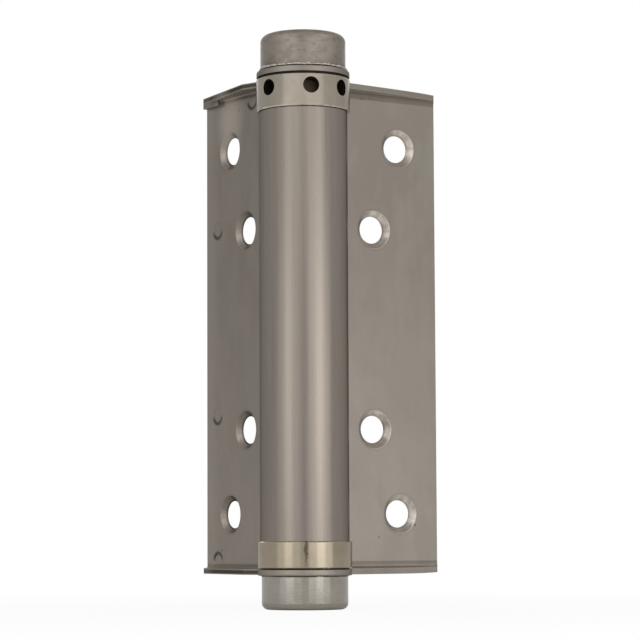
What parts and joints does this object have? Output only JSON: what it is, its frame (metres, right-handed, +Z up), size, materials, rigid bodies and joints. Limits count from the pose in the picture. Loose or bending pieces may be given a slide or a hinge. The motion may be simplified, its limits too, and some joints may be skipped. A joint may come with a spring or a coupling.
{
  "type": "spring hinge",
  "caption": "Single-action spring hinge: rolled barrel tube, holed adjusting collar, plain anchor collar, drawn end caps and two flanged leaves with countersunk screw holes.",
  "frame": {"origin": "on the spindle's axis, half way between the two ears", "axes": "+Z up the spindle towards the adjusting collar; +Y along the frame leaf; +X along the barrel leaf, square to the frame leaf"},
  "size_m": [0.0594, 0.0593, 0.1448],
  "materials": {
    "satin_sheet": "satin",
    "turned_cap": "satin, scratched round",
    "polished_collar": "polished",
    "spring_steel": "oiled",
    "bright_steel": "turned",
    "bearing_bronze": "sintered",
    "black_nylon": "moulded"
  },
  "bodies": {
    "frame": {"frame_leaf": "satin_sheet", "top_cap": "turned_cap", "bottom_cap": "turned_cap", "spindle": "bright_steel", "top_spindle_nut": "bright_steel", "bottom_spindle_nut": "bright_steel", "top_seat_washer": "bright_steel", "bottom_seat_washer": "bright_steel", "top_thrust_washer": "black_nylon", "bottom_thrust_washer": "black_nylon", "guide_sleeve": "black_nylon"},
    "barrel": {"barrel_leaf": "satin_sheet", "anchor_collar": "polished_collar", "bottom_bush": "bearing_bronze", "torsion_spring": "spring_steel"},
    "collar": {"adjusting_collar": "polished_collar", "top_bush": "bearing_bronze"}
  },
  "joints": [
    {"name": "leaf_swing", "type": "hinge", "parent": "frame", "child": "barrel", "pos_m": [0, 0, 0], "axis": [0, 0, 1], "range_deg": [-270, 12], "deforming": ["torsion_spring"]},
    {"name": "collar_turn", "type": "hinge", "parent": "frame", "child": "collar", "pos_m": [0, 0, 0], "axis": [0, 0, 1], "range_deg": [-180, 0], "deforming": ["torsion_spring"]}
  ]
}
